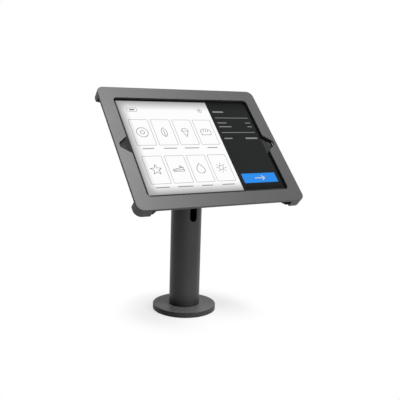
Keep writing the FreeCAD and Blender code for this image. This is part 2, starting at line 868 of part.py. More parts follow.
def make_back_pads():
    low, high = bracket_front_z, tablet_back_z
    half = pad_strip_width / 2
    pads = []
    for sy in (-1, 1):
        y = sy * (waist_half_y - long_pad_inset)
        pads.append(block(-long_pad_reach, long_pad_reach, y - half, y + half, low, high))
        for sx in (-1, 1):
            x = sx * (waist_half_x - short_pad_inset)
            middle = sy * short_pad_y
            pads.append(block(x - half, x + half, middle - short_pad_length / 2,
                              middle + short_pad_length / 2, low, high))
    return pads


def make_front_gasket():
    outer = tablet_slab(gasket_inset, glass_front_z, frame_back_z)
    return outer.cut(window_shape(gasket_window_gap, glass_front_z, frame_back_z))


# Tablet, in the head's frame

def make_cover_glass():
    glass = tablet_slab(0, glass_back_z, glass_front_z)
    holes = [disc(home_diameter / 2 + soft_gap, glass_back_z, glass_front_z, x=home_x),
             disc(lens_diameter / 2 + press_gap, glass_back_z, glass_front_z, x=lens_x)]
    return cut_all(glass, holes)


def make_display_module():
    width, height = 2 * half_display_x, 2 * half_display_y
    return rounded_slab(width, height, display_round, display_bottom_z, glass_back_z)


def power_slot():
    """The power button's opening in the shell's left wall."""
    half = side_button_width / 2 + soft_gap / 2
    reach = power_button_length / 2 + soft_gap / 2
    return block(-half_tablet_x - 1, -half_tablet_x + shell_wall + 1, power_button_y - reach,
                 power_button_y + reach, side_button_z - half, side_button_z + half)


def volume_x(k):
    return volume_button_from_side + k * volume_button_pitch - half_tablet_x


def volume_slot(k):
    """A volume button's opening in the shell's top wall."""
    half = side_button_width / 2 + soft_gap / 2
    reach = volume_button_length / 2 + soft_gap / 2
    return block(volume_x(k) - reach, volume_x(k) + reach, half_tablet_y - shell_wall - 1,
                 half_tablet_y + 1, side_button_z - half, side_button_z + half)


def port_slot():
    """The charging port's opening in the shell's right wall."""
    low = shell_inner_z + soft_gap
    return block(half_tablet_x - shell_wall - 1, half_tablet_x + 1, -port_width / 2 - press_gap,
                 port_width / 2 + press_gap, low, low + port_height + press_gap)


def make_tablet_shell():
    shell = tablet_slab(0, tablet_back_z, glass_back_z)
    shell = filleted(shell, tablet_back_round, lambda edge: lies_at(edge, tablet_back_z))
    inner = tablet_slab(shell_wall, shell_inner_z, glass_back_z)
    return cut_all(shell, [inner, power_slot(), volume_slot(0), volume_slot(1), port_slot()])


def make_battery():
    height = 2 * (half_tablet_y - battery_end_room)
    first = battery_left_x + battery_width / 2
    return [rounded_slab(battery_width, height, inside_round, shell_inner_z, display_bottom_z - soft_gap,
                         x=first + k * (battery_width + battery_gap)) for k in (0, 1)]


def make_main_board():
    top = shell_inner_z + board_thickness
    height = 2 * (half_tablet_y - board_end_room)
    board = rounded_slab(board_width, height, inside_round, shell_inner_z, top, x=board_x)
    half = chip_size / 2
    chips = [block(board_x - half, board_x + half, y - half, y + half, top, top + chip_height)
             for y in chip_places]
    return fuse_all([board] + chips)


def make_charging_port():
    low = shell_inner_z + soft_gap
    edge = half_tablet_x
    half = port_width / 2
    body = block(edge - port_length, edge - press_gap, -half, half, low, low + port_height)
    middle = low + port_height / 2
    mouth = block(edge - port_mouth_depth, edge, -port_mouth_width / 2, port_mouth_width / 2,
                  middle - port_mouth_height / 2, middle + port_mouth_height / 2)
    return body.cut(mouth)


def make_camera_lens():
    return disc(lens_diameter / 2, glass_front_z - lens_depth, glass_front_z, x=lens_x)


def make_home_button():
    high = glass_front_z - home_recess
    low = high - home_height
    button = disc(home_diameter / 2, low, high, x=home_x)
    flange = disc(home_flange_diameter / 2, low, low + home_flange_height, x=home_x)
    return button.fuse(flange).removeSplitter()


def make_home_switch():
    """The dome switch under the home button."""
    high = glass_front_z - home_recess - home_height - home_travel - switch_gap
    return disc(home_switch_diameter / 2, shell_inner_z, high, x=home_x)


def switch_body(reach):
    """A side button's switch, drawn for a button along +Y whose wall is at reach."""
    outer = reach - shell_wall - press_gap - side_button_flange - side_button_travel - switch_gap
    half = switch_size / 2
    return block(-half, half, outer - switch_size, outer, shell_inner_z, side_button_z + half)


def make_side_switches():
    """The switches behind the power button and the two volume buttons."""
    power = turned(switch_body(half_tablet_x), up, 90)
    power.translate(FreeCAD.Vector(0, power_button_y, 0))
    switches = [power]
    for k in (0, 1):
        switch = switch_body(half_tablet_y)
        switch.translate(FreeCAD.Vector(volume_x(k), 0, 0))
        switches.append(switch)
    return switches


def side_button(length, inner, outer):
    """A push button along +Y: its bar through the wall and its flange behind the wall, centred on X."""
    half = side_button_width / 2
    bar = block(-length / 2, length / 2, inner, outer, -half, half)
    bar = filleted(bar, side_button_round, lambda edge: edge.BoundBox.XLength < 1e-4
                   and edge.BoundBox.ZLength < 1e-4)
    flange_half = half + side_button_lip
    flange = block(-length / 2 - side_button_lip, length / 2 + side_button_lip, inner - side_button_flange,
                   inner, -flange_half, flange_half)
    return bar.fuse(flange).removeSplitter()


def make_power_button():
    wall_inner = half_tablet_x - shell_wall - press_gap
    button = side_button(power_button_length, wall_inner, half_tablet_x + side_button_stand)
    button = turned(button, up, 90)
    button.translate(FreeCAD.Vector(0, power_button_y, side_button_z))
    return button


def make_volume_button(k):
    wall_inner = half_tablet_y - shell_wall - press_gap
    button = side_button(volume_button_length, wall_inner, half_tablet_y + side_button_stand)
    button.translate(FreeCAD.Vector(volume_x(k), 0, side_button_z))
    return button


def main():
    os.makedirs("parts", exist_ok=True)
    save("base_pad", make_base_pad())
    save("base_plate", make_base_plate())
    save("swivel_hub", make_hub())
    save("hub_screws", *make_hub_screws())
    save("foot_washer", make_foot_washer())
    save("spring_washer", make_spring_washer())
    save("retaining_nut", make_retaining_nut())
    save("foot_plug", make_foot_plug())
    save("swivel_bush", make_swivel_bush())
    save("stop_screw", make_stop_screw())
    save("foot_screws", *make_foot_screws())
    save("pole_tube", make_pole_tube())
    save("clevis_block", make_clevis_block())
    save("head_screws", *make_head_screws())
    save("pivot_bolt", make_pivot_bolt())
    save("disc_springs", *make_disc_springs())
    save("pivot_nut", make_pivot_nut())
    save("friction_washers", *make_friction_washers())
    head_nodes = {
        "tilt_arm": [make_tilt_arm()],
        "rotation_washer": [make_rotation_washer()],
        "retainer_washer": [make_retainer_washer()],
        "retainer_disc": [make_retainer_disc()],
        "rotation_screw": [make_rotation_screw()],
        "vesa_plate": [make_vesa_plate()],
        "rotation_stop_pin": [make_rotation_stop_pin()],
        "vesa_screws": make_vesa_screws(),
        "back_bracket": [make_back_bracket()],
        "bracket_screws": make_bracket_screws(),
        "front_frame": [make_front_frame()],
        "corner_pads": make_corner_pads(),
        "back_pads": make_back_pads(),
        "front_gasket": [make_front_gasket()],
        "cover_glass": [make_cover_glass()],
        "display_module": [make_display_module()],
        "tablet_shell": [make_tablet_shell()],
        "battery": make_battery(),
        "main_board": [make_main_board()],
        "charging_port": [make_charging_port()],
        "camera_lens": [make_camera_lens()],
        "home_switch": [make_home_switch()],
        "side_switches": make_side_switches(),
        "home_button": [make_home_button()],
        "power_button": [make_power_button()],
        "volume_up_button": [make_volume_button(0)],
        "volume_down_button": [make_volume_button(1)],
    }
    for name, solids in head_nodes.items():
        save(name, *[head(solid) for solid in solids])


main()
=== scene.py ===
import math

import bpy
import numpy as np
from mathutils import Matrix


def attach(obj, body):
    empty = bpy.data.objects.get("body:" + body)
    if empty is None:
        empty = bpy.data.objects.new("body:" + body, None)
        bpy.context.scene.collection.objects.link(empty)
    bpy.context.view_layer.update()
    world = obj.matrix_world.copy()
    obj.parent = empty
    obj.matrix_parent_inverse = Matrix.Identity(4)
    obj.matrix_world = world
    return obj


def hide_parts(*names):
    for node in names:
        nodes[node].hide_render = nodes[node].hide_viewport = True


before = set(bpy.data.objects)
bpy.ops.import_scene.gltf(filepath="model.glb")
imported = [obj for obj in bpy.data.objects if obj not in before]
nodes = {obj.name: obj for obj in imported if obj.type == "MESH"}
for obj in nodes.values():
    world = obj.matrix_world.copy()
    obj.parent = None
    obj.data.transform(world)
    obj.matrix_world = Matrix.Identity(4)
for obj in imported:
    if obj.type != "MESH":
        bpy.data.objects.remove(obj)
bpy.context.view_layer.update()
print("frame loaded:", len(nodes), "nodes")

# Lengths are in metres and colours are linear. The head's own frame has x to the viewer's right,
# y up along the screen and z out of the screen, with its origin on the tilt pivot.
head = {
    "pivotHeight": 0.2254,
    "lean": math.radians(45.0),
    "glassFront": 0.056,
}


def toWorld(points):
    # y and z turn about x by the lean: (x, y cos - z sin, y sin + z cos), then up to the pivot
    c, s = math.cos(head["lean"]), math.sin(head["lean"])
    x, y, z = points[:, 0], points[:, 1], points[:, 2]
    return np.column_stack((x, y * c - z * s, y * s + z * c + head["pivotHeight"]))


# Node groups that several finishes share

def newGroup(name, inputs, outputs):
    group = bpy.data.node_groups.new(name, "ShaderNodeTree")
    for label, kind, value in inputs:
        socket = group.interface.new_socket(label, in_out="INPUT", socket_type=kind)
        if value is not None:
            socket.default_value = value
    for label, kind in outputs:
        group.interface.new_socket(label, in_out="OUTPUT", socket_type=kind)
    return group, group.nodes.new("NodeGroupInput"), group.nodes.new("NodeGroupOutput")


def addNode(tree, kind, **settings):
    node = tree.nodes.new(kind)
    for key, value in settings.items():
        setattr(node, key, value)
    return node


def addMath(tree, operation, first, second=None, third=None):
    # a Math node whose inputs are sockets or plain numbers
    node = addNode(tree, "ShaderNodeMath", operation=operation)
    for slot, value in enumerate((first, second, third)):
        if value is None:
            continue
        if isinstance(value, (int, float)):
            node.inputs[slot].default_value = value
        else:
            tree.links.new(value, node.inputs[slot])
    return node.outputs[0]


def addNoise(tree, vector, scale, detail=2.0, roughness=0.5):
    node = addNode(tree, "ShaderNodeTexNoise")
    tree.links.new(vector, node.inputs["Vector"])
    node.inputs["Detail"].default_value = detail
    node.inputs["Roughness"].default_value = roughness
    if isinstance(scale, (int, float)):
        node.inputs["Scale"].default_value = scale
    else:
        tree.links.new(scale, node.inputs["Scale"])
    return node.outputs["Fac"]


def addRange(tree, value, fromLow, fromHigh, toLow, toHigh, smooth=False):
    node = addNode(tree, "ShaderNodeMapRange")
    node.interpolation_type = "SMOOTHSTEP" if smooth else "LINEAR"
    tree.links.new(value, node.inputs["Value"])
    limits = {"From Min": fromLow, "From Max": fromHigh, "To Min": toLow, "To Max": toHigh}
    for label, number in limits.items():
        node.inputs[label].default_value = number
    return node.outputs["Result"]


def addReach(tree, vector):
    # the distance from the z axis, the root of x squared plus y squared, and the vector's three parts
    parts = addNode(tree, "ShaderNodeSeparateXYZ")
    tree.links.new(vector, parts.inputs[0])
    square = addMath(tree, "MULTIPLY", parts.outputs["X"], parts.outputs["X"])
    square = addMath(tree, "MULTIPLY_ADD", parts.outputs["Y"], parts.outputs["Y"], square)
    return addMath(tree, "SQRT", square), parts


# Scales are those of a noise over metres, and the lows and highs are heights of that noise.
surface = {
    "peelCells": 900.0,
    "peelTooth": 5200.0,
    "toothShare": 0.25,
    "smearScale": 18.0,
    "smearLow": 0.35, "smearHigh": 0.65,
    "dustScale": 260.0,
    "dustLow": 0.62, "dustHigh": 0.80,
    "slopeLow": 0.70, "slopeHigh": 0.97,  # height of the normal where the painted light on top faces starts, and where it is full
    "topLightScale": 60.0,
    "topLightLow": 0.3, "topLightHigh": 0.7,
    "topLightThin": 0.86,
    "lathePitch": 2600.0,
    "latheRings": 0.3,
    "mouldGrain": 2400.0,
    "grainLow": 0.3, "grainHigh": 0.7,
    "grainRough": 0.06,  # how far the grain moves a moulding's roughness, down and up
    "toneScale": 70.0,
}


def makeOrangePeel():
    # the skin of a baked powder coat: rounded cells about a millimetre across, with a fine tooth
    group, start, end = newGroup("orangePeel",
                                 [("Cells", "NodeSocketFloat", surface["peelCells"]),
                                  ("Tooth", "NodeSocketFloat", surface["peelTooth"])],
                                 [("Height", "NodeSocketFloat"), ("Speckle", "NodeSocketFloat")])
    place = addNode(group, "ShaderNodeTexCoord").outputs["Object"]
    cells = addNoise(group, place, start.outputs["Cells"], 1.0)
    tooth = addNoise(group, place, start.outputs["Tooth"], 1.0)
    height = addMath(group, "MULTIPLY_ADD", tooth, surface["toothShare"], cells)
    group.links.new(height, end.inputs["Height"])
    group.links.new(tooth, end.inputs["Speckle"])
    return group


def makeHandling():
    # broad soft patches where hands and cloths have passed, and a little dust
    group, start, end = newGroup("handling", [("Patch", "NodeSocketFloat", surface["smearScale"])],
                                 [("Smear", "NodeSocketFloat"), ("Dust", "NodeSocketFloat")])
    place = addNode(group, "ShaderNodeTexCoord").outputs["Object"]
    broad = addNoise(group, place, start.outputs["Patch"], 3.0, 0.55)
    fine = addNoise(group, place, surface["dustScale"], 2.0)
    smear = addRange(group, broad, surface["smearLow"], surface["smearHigh"], 0.0, 1.0, True)
    dust = addRange(group, fine, surface["dustLow"], surface["dustHigh"], 0.0, 1.0)
    group.links.new(smear, end.inputs["Smear"])
    group.links.new(dust, end.inputs["Dust"])
    return group


def makePaintedTopLight():
    # painted light on what faces up, so that top faces read lighter: the height of the object's normal,
    # broken up by slow noise
    group, start, end = newGroup("paintedTopLight", [("Cover", "NodeSocketFloat", 1.0)],
                                 [("Mask", "NodeSocketFloat")])
    place = addNode(group, "ShaderNodeTexCoord")
    parts = addNode(group, "ShaderNodeSeparateXYZ")
    group.links.new(place.outputs["Normal"], parts.inputs[0])
    level = addRange(group, parts.outputs["Z"], surface["slopeLow"], surface["slopeHigh"], 0.0, 1.0, True)
    patch = addNoise(group, place.outputs["Object"], surface["topLightScale"], 3.0)
    thin = addRange(group, patch, surface["topLightLow"], surface["topLightHigh"], surface["topLightThin"], 1.0)
    litTop = addMath(group, "MULTIPLY", level, thin)
    group.links.new(addMath(group, "MULTIPLY", litTop, start.outputs["Cover"]), end.inputs["Mask"])
    return group


def makeTurning():
    # fine rings left by a lathe: waves of the distance from an axis, broken up by noise
    group, start, end = newGroup("turning",
                                 [("Vector", "NodeSocketVector", None),
                                  ("Pitch", "NodeSocketFloat", surface["lathePitch"])],
                                 [("Height", "NodeSocketFloat"), ("Streak", "NodeSocketFloat")])
    radius, parts = addReach(group, start.outputs["Vector"])
    phase = addMath(group, "MULTIPLY", radius, start.outputs["Pitch"])
    turn = addNode(group, "ShaderNodeCombineXYZ")
    group.links.new(phase, turn.inputs[0])
    group.links.new(addMath(group, "MULTIPLY", parts.outputs["Z"], start.outputs["Pitch"]), turn.inputs[1])
    streak = addNoise(group, turn.outputs[0], 1.0, 2.0, 0.6)
    wave = addMath(group, "MULTIPLY_ADD", addMath(group, "SINE", phase), surface["latheRings"], streak)
    group.links.new(wave, end.inputs["Height"])
    group.links.new(streak, end.inputs["Streak"])
    return group


def makeMouldGrain():
    # the spark-eroded grain of a moulding tool
    group, start, end = newGroup("mouldGrain", [("Grain", "NodeSocketFloat", surface["mouldGrain"])],
                                 [("Height", "NodeSocketFloat"), ("Tone", "NodeSocketFloat")])
    place = addNode(group, "ShaderNodeTexCoord").outputs["Object"]
    grain = addNoise(group, place, start.outputs["Grain"], 3.0, 0.6)
    group.links.new(grain, end.inputs["Height"])
    group.links.new(addNoise(group, place, surface["toneScale"], 2.0), end.inputs["Tone"])
    return group


def makeHeadPlace():
    # object coordinates turned into the head's own frame
    group, start, end = newGroup("headPlace", [], [("Vector", "NodeSocketVector")])
    place = addNode(group, "ShaderNodeTexCoord").outputs["Object"]
    turn = addNode(group, "ShaderNodeMapping", vector_type="TEXTURE")
    turn.inputs["Location"].default_value = (0.0, 0.0, head["pivotHeight"])
    turn.inputs["Rotation"].default_value = (head["lean"], 0.0, 0.0)
    group.links.new(place, turn.inputs["Vector"])
    group.links.new(turn.outputs[0], end.inputs["Vector"])
    return group


groups = {
    "orangePeel": makeOrangePeel(),
    "handling": makeHandling(),
    "paintedTopLight": makePaintedTopLight(),
    "turning": makeTurning(),
    "mouldGrain": makeMouldGrain(),
    "headPlace": makeHeadPlace(),
}
print("node groups made")


# Finishes

def startMaterial(name, base, metallic=0.0, roughness=0.5, specular=0.5):
    material = bpy.data.materials.new(name)
    material.use_nodes = True
    tree = material.node_tree
    shader = tree.nodes["Principled BSDF"]
    shader.inputs["Base Color"].default_value = (*base, 1.0)
    shader.inputs["Metallic"].default_value = metallic
    shader.inputs["Roughness"].default_value = roughness
    shader.inputs["Specular IOR Level"].default_value = specular
    return material, tree, shader


def useGroup(tree, name, **values):
    node = addNode(tree, "ShaderNodeGroup")
    node.node_tree = groups[name]
    for label, value in values.items():
        node.inputs[label].default_value = value
    return node


def addBump(tree, shader, height, distance, strength=1.0):
    bump = addNode(tree, "ShaderNodeBump")
    bump.inputs["Strength"].default_value = strength
    bump.inputs["Distance"].default_value = distance
    tree.links.new(height, bump.inputs["Height"])
    tree.links.new(bump.outputs["Normal"], shader.inputs["Normal"])


def mixColours(tree, factor, first, second):
    # from first to second as the factor rises, each a colour or the socket that carries one
    node = addNode(tree, "ShaderNodeMix", data_type="RGBA")
    tree.links.new(factor, node.inputs["Factor"])
    for label, colour in (("A", first), ("B", second)):
        if isinstance(colour, tuple):
            node.inputs[label].default_value = (*colour, 1.0)
        else:
            tree.links.new(colour, node.inputs[label])
    return node.outputs["Result"]


def headPlaceFrom(tree, x):
    # the head's own coordinates, counted from the point at x on its middle line
    shift = addNode(tree, "ShaderNodeMapping")
    shift.inputs["Location"].default_value = (-x, 0.0, 0.0)
    tree.links.new(useGroup(tree, "headPlace").outputs[0], shift.inputs["Vector"])
    return shift.outputs[0]


paint = {
    "grey": ((0.0300, 0.0302, 0.0311), (0.0355, 0.0358, 0.0369)),
    "black": ((0.0060, 0.0060, 0.0062), (0.0085, 0.0085, 0.0087)),
    "headSpecular": 0.50,
    "poleSpecular": 0.36,
    "baseSpecular": 0.16,
    # the lighter colour that the base's top faces take: painted light
    "baseTopLight": (0.120, 0.120, 0.123),
    "bracketSpecular": 0.10,
    "roughLow": 0.42,
    "roughHigh": 0.46,
    "dustRough": 0.04,
    "peelDepth": 0.000008,
    # painted shade at the pole's foot: its two heights, the share of the coat kept at the bottom, and the
    # shade's colour
    "footShadeLow": 0.010,
    "footShadeHigh": 0.034,
    "footShadeKeep": 0.30,
    "footShadeColour": (0.004, 0.004, 0.004),
}


def makePaint(name, colour, specular, dust=None, footShade=False):
    dark, light = paint[colour]
    material, tree, shader = startMaterial(name, dark, specular=specular)
    peel = useGroup(tree, "orangePeel")
    touch = useGroup(tree, "handling")
    coat = mixColours(tree, peel.outputs["Speckle"], dark, light)
    # painted light: faces that look up take the lighter colour given as dust
    if dust:
        coat = mixColours(tree, useGroup(tree, "paintedTopLight").outputs["Mask"], coat, dust)
    if footShade:
        # painted shade round the pole's foot, where it meets the base: the coat darkens from the upper height
        # down to the lower
        parts = addNode(tree, "ShaderNodeSeparateXYZ")
        tree.links.new(addNode(tree, "ShaderNodeTexCoord").outputs["Object"], parts.inputs[0])
        unshaded = addRange(tree, parts.outputs["Z"], paint["footShadeLow"], paint["footShadeHigh"],
                         paint["footShadeKeep"], 1.0, True)
        coat = mixColours(tree, unshaded, paint["footShadeColour"], coat)
    tree.links.new(coat, shader.inputs["Base Color"])
    rough = addRange(tree, touch.outputs["Smear"], 0.0, 1.0, paint["roughLow"], paint["roughHigh"])
    rough = addMath(tree, "MULTIPLY_ADD", touch.outputs["Dust"], paint["dustRough"], rough)
    tree.links.new(rough, shader.inputs["Roughness"])
    addBump(tree, shader, peel.outputs["Height"], paint["peelDepth"])
    return material


steel = {
    "dark": (0.40, 0.41, 0.42),
    "light": (0.58, 0.58, 0.58),
    "roughness": 0.30,
    "roughLow": 0.22,
    "roughHigh": 0.40,
    "ringDepth": 0.000006,
}


def makeSteel(name, centre, turn):
    # centre and turn carry the lathe's axis onto z
    material, tree, shader = startMaterial(name, steel["light"], metallic=1.0, roughness=steel["roughness"])
    place = addNode(tree, "ShaderNodeTexCoord").outputs["Object"]
    mapping = addNode(tree, "ShaderNodeMapping", vector_type="TEXTURE")
    mapping.inputs["Location"].default_value = centre
    mapping.inputs["Rotation"].default_value = turn
    tree.links.new(place, mapping.inputs["Vector"])
    lathe = useGroup(tree, "turning")
    tree.links.new(mapping.outputs[0], lathe.inputs["Vector"])
    streak = lathe.outputs["Streak"]
    tree.links.new(mixColours(tree, streak, steel["dark"], steel["light"]), shader.inputs["Base Color"])
    rough = addRange(tree, streak, 0.0, 1.0, steel["roughLow"], steel["roughHigh"])
    tree.links.new(rough, shader.inputs["Roughness"])
    addBump(tree, shader, lathe.outputs["Height"], steel["ringDepth"])
    return material


oxide = {
    "base": (0.018, 0.018, 0.020),
    "dark": (0.016, 0.016, 0.018),
    "worn": (0.040, 0.038, 0.036),
    "metallic": 0.6,
    "roughness": 0.38,
    "roughLow": 0.34,
    "roughHigh": 0.50,
    "patch": 160.0,
    "grain": 5200.0,
    "grainDepth": 0.000005,
}


def makeOxide():
    # black oxide on small screws: nearly black, a little patchy, with a low shine
    material, tree, shader = startMaterial("blackOxide", oxide["base"], metallic=oxide["metallic"],
                                           roughness=oxide["roughness"])
    smear = useGroup(tree, "handling", Patch=oxide["patch"]).outputs["Smear"]
    grain = useGroup(tree, "mouldGrain", Grain=oxide["grain"])
    tree.links.new(mixColours(tree, smear, oxide["dark"], oxide["worn"]), shader.inputs["Base Color"])
    rough = addRange(tree, smear, 0.0, 1.0, oxide["roughLow"], oxide["roughHigh"])
    tree.links.new(rough, shader.inputs["Roughness"])
    addBump(tree, shader, grain.outputs["Height"], oxide["grainDepth"])
    return material


# Each row: dark and light colour, roughness, scale of the grain, its depth, and the specular level.
moulded = {
    "padRubber": ((0.0040, 0.0040, 0.0040), (0.0070, 0.0070, 0.0070), 0.85, 1500.0, 0.000030, 0.05),
    "bearingPlastic": ((0.62, 0.60, 0.54), (0.70, 0.68, 0.62), 0.45, 2600.0, 0.000008, 0.4),
    "blackPlastic": ((0.010, 0.010, 0.011), (0.015, 0.015, 0.016), 0.40, 3200.0, 0.000010, 0.4),
    "displayBacking": ((0.45, 0.46, 0.47), (0.55, 0.56, 0.57), 0.35, 1800.0, 0.000006, 0.4),
}


def makeMoulded(name):
    # a moulded plastic or rubber: grain for its bump and shine, slow tone for its colour
    dark, light, rough, grainScale, depth, specular = moulded[name]
    material, tree, shader = startMaterial(name, dark, roughness=rough, specular=specular)
    grain = useGroup(tree, "mouldGrain", Grain=grainScale)
    tree.links.new(mixColours(tree, grain.outputs["Tone"], dark, light), shader.inputs["Base Color"])
    spread = surface["grainRough"]
    shine = addRange(tree, grain.outputs["Height"], surface["grainLow"], surface["grainHigh"],
                     rough - spread, rough + spread)
    tree.links.new(shine, shader.inputs["Roughness"])
    addBump(tree, shader, grain.outputs["Height"], depth)
    return material


glass = {
    "ink": (0.0030, 0.0030, 0.0034),
    "dust": (0.010, 0.010, 0.010),
    "specular": 0.36,
    "roughLow": 0.09,
    "roughHigh": 0.14,
    "patch": 45.0,
}


def makeGlass():
    # satin glass over black ink reads as a soft black, with faint finger marks in its shine
    material, tree, shader = startMaterial("inkedGlass", glass["ink"], specular=glass["specular"])
    touch = useGroup(tree, "handling", Patch=glass["patch"])
    rough = addRange(tree, touch.outputs["Smear"], 0.0, 1.0, glass["roughLow"], glass["roughHigh"])
    tree.links.new(rough, shader.inputs["Roughness"])
    tree.links.new(mixColours(tree, touch.outputs["Dust"], glass["ink"], glass["dust"]),
                   shader.inputs["Base Color"])
    return material


anodised = {
    "base": (0.30, 0.31, 0.32),
    "dark": (0.27, 0.28, 0.29),
    "light": (0.34, 0.35, 0.36),
    "metallic": 0.9,
    "roughness": 0.42,
    "roughLow": 0.38,
    "roughHigh": 0.48,
    "patch": 22.0,
    "grain": 9000.0,
    "grainDepth": 0.000004,
}


def makeAnodised():
    # blasted and anodised aluminium for the tablet's shell
    material, tree, shader = startMaterial("anodisedShell", anodised["base"], metallic=anodised["metallic"],
                                           roughness=anodised["roughness"])
    grain = useGroup(tree, "mouldGrain", Grain=anodised["grain"])
    touch = useGroup(tree, "handling", Patch=anodised["patch"])
    tree.links.new(mixColours(tree, grain.outputs["Tone"], anodised["dark"], anodised["light"]),
                   shader.inputs["Base Color"])
    rough = addRange(tree, touch.outputs["Smear"], 0.0, 1.0, anodised["roughLow"], anodised["roughHigh"])
    tree.links.new(rough, shader.inputs["Roughness"])
    addBump(tree, shader, grain.outputs["Height"], anodised["grainDepth"])
    return material


board = {
    "base": (0.010, 0.050, 0.022),
    "mask": (0.008, 0.040, 0.018),
    "track": (0.018, 0.085, 0.036),
    "roughness": 0.35,
    "cells": 420.0,
    "edgeLow": 0.30,
    "edgeHigh": 0.36,
    "trackDepth": 0.000015,
}


def makeBoard():
    # solder mask over copper: dark green with faint tracks
    material, tree, shader = startMaterial("circuitBoard", board["base"], roughness=board["roughness"])
    cells = addNode(tree, "ShaderNodeTexVoronoi", distance="CHEBYCHEV")
    tree.links.new(useGroup(tree, "headPlace").outputs[0], cells.inputs["Vector"])
    cells.inputs["Scale"].default_value = board["cells"]
    tracks = addRange(tree, cells.outputs["Distance"], board["edgeLow"], board["edgeHigh"], 0.0, 1.0)
    tree.links.new(mixColours(tree, tracks, board["mask"], board["track"]), shader.inputs["Base Color"])
    addBump(tree, shader, tracks, board["trackDepth"])
    return material


# The bands are shares of the radius and their colours, from the middle outwards.
lens = {
    "x": -0.123,
    "radius": 0.002,
    "base": (0.004, 0.004, 0.008),
    "roughness": 0.05,
    "bands": ((0.30, (0.003, 0.004, 0.012)), (0.45, (0.010, 0.008, 0.030)), (0.78, (0.030, 0.030, 0.034))),
}


def makeLensGlass():
    # a dark lens with a faint coated ring: colour bands by the distance from the lens's axis
    material, tree, shader = startMaterial("lensGlass", lens["base"], roughness=lens["roughness"])
    reach = addReach(tree, headPlaceFrom(tree, lens["x"]))[0]
    ramp = addNode(tree, "ShaderNodeValToRGB")
    tree.links.new(addRange(tree, reach, 0.0, lens["radius"], 0.0, 1.0), ramp.inputs[0])
    stops = ramp.color_ramp.elements
    stops[0].position, stops[1].position = lens["bands"][0][0], lens["bands"][2][0]
    stops.new(lens["bands"][1][0])
    for stop, band in zip(stops, lens["bands"]):
        stop.color = (*band[1], 1.0)
    tree.links.new(ramp.outputs["Color"], shader.inputs["Base Color"])
    return material


finishes = {
    "headPaint": makePaint("powderCoatHead", "grey", paint["headSpecular"]),
    "polePaint": makePaint("powderCoatPole", "grey", paint["poleSpecular"], footShade=True),
    "basePaint": makePaint("powderCoatBase", "grey", paint["baseSpecular"], paint["baseTopLight"]),
    # the back bracket's black coat is its own paint, made dark enough to stand in for the shade in the hollow
    # behind the front plate
    "bracketPaint": makePaint("powderCoatBracket", "black", paint["bracketSpecular"]),
    "footSteel": makeSteel("turnedSteelFoot", (0.0, 0.0, 0.0), (0.0, 0.0, 0.0)),
    "pivotSteel": makeSteel("turnedSteelPivot", (0.0, 0.0, head["pivotHeight"]), (0.0, math.pi / 2, 0.0)),
    "headSteel": makeSteel("turnedSteelHead", (0.0, 0.0, head["pivotHeight"]), (head["lean"], 0.0, 0.0)),
    "oxide": makeOxide(),
    "rubber": makeMoulded("padRubber"),
    "bearing": makeMoulded("bearingPlastic"),
    "plastic": makeMoulded("blackPlastic"),
    "glass": makeGlass(),
    "shell": makeAnodised(),
    "display": makeMoulded("displayBacking"),
    "board": makeBoard(),
    "lens": makeLensGlass(),
}

finishOfNode = {
    "headPaint": ["tilt_arm", "vesa_plate", "front_frame"],
    "bracketPaint": ["back_bracket"],
    "polePaint": ["pole_tube", "clevis_block"],
    "basePaint": ["base_plate"],
    "footSteel": ["swivel_hub", "retaining_nut", "spring_washer", "foot_plug"],
    "pivotSteel": ["pivot_bolt", "pivot_nut", "disc_springs"],
    "headSteel": ["retainer_disc", "rotation_stop_pin", "charging_port"],
    "oxide": ["hub_screws", "stop_screw", "foot_screws", "head_screws", "rotation_screw", "vesa_screws",
              "bracket_screws"],
    "rubber": ["base_pad", "corner_pads", "back_pads", "front_gasket"],
    "bearing": ["swivel_bush", "friction_washers", "rotation_washer", "retainer_washer"],
    # the foot washer's black is its own plastic and also stands in for the contact shade at the pole's foot
    "plastic": ["home_button", "home_switch", "side_switches", "battery", "foot_washer"],
    "glass": ["cover_glass"],
    "shell": ["tablet_shell", "power_button", "volume_up_button", "volume_down_button"],
    "display": ["display_module"],
    "board": ["main_board"],
    "lens": ["camera_lens"],
}

for finishName, members in finishOfNode.items():
    for member in members:
        slots = nodes[member].data.materials
        slots.clear()
        slots.append(finishes[finishName])
undressed = set(nodes) - {member for members in finishOfNode.values() for member in members}
print("finishes given to the CAD nodes; without one:", sorted(undressed))


# Meshes

def makePiece(name, points, faces, material, body, smooth=False):
    mesh = bpy.data.meshes.new(name)
    mesh.from_pydata(np.asarray(points).tolist(), [], [tuple(face) for face in faces])
    mesh.polygons.foreach_set("use_smooth", np.full(len(mesh.polygons), smooth))
    mesh.materials.append(material)
    mesh.update()
    piece = bpy.data.objects.new(name, mesh)
    bpy.context.scene.collection.objects.link(piece)
    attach(piece, body)
    return piece


def prismShape(outline, low, high):
    # an outline of (x, y) points, anticlockwise, raised from low to high
    count = len(outline)
    points = np.vstack([np.column_stack((outline, np.full(count, low))),
                        np.column_stack((outline, np.full(count, high)))])
    k = np.arange(count)
    following = (k + 1) % count
    sides = np.column_stack((k, following, following + count, k + count)).tolist()
    return points, sides + [(k[::-1]).tolist(), (k + count).tolist()]


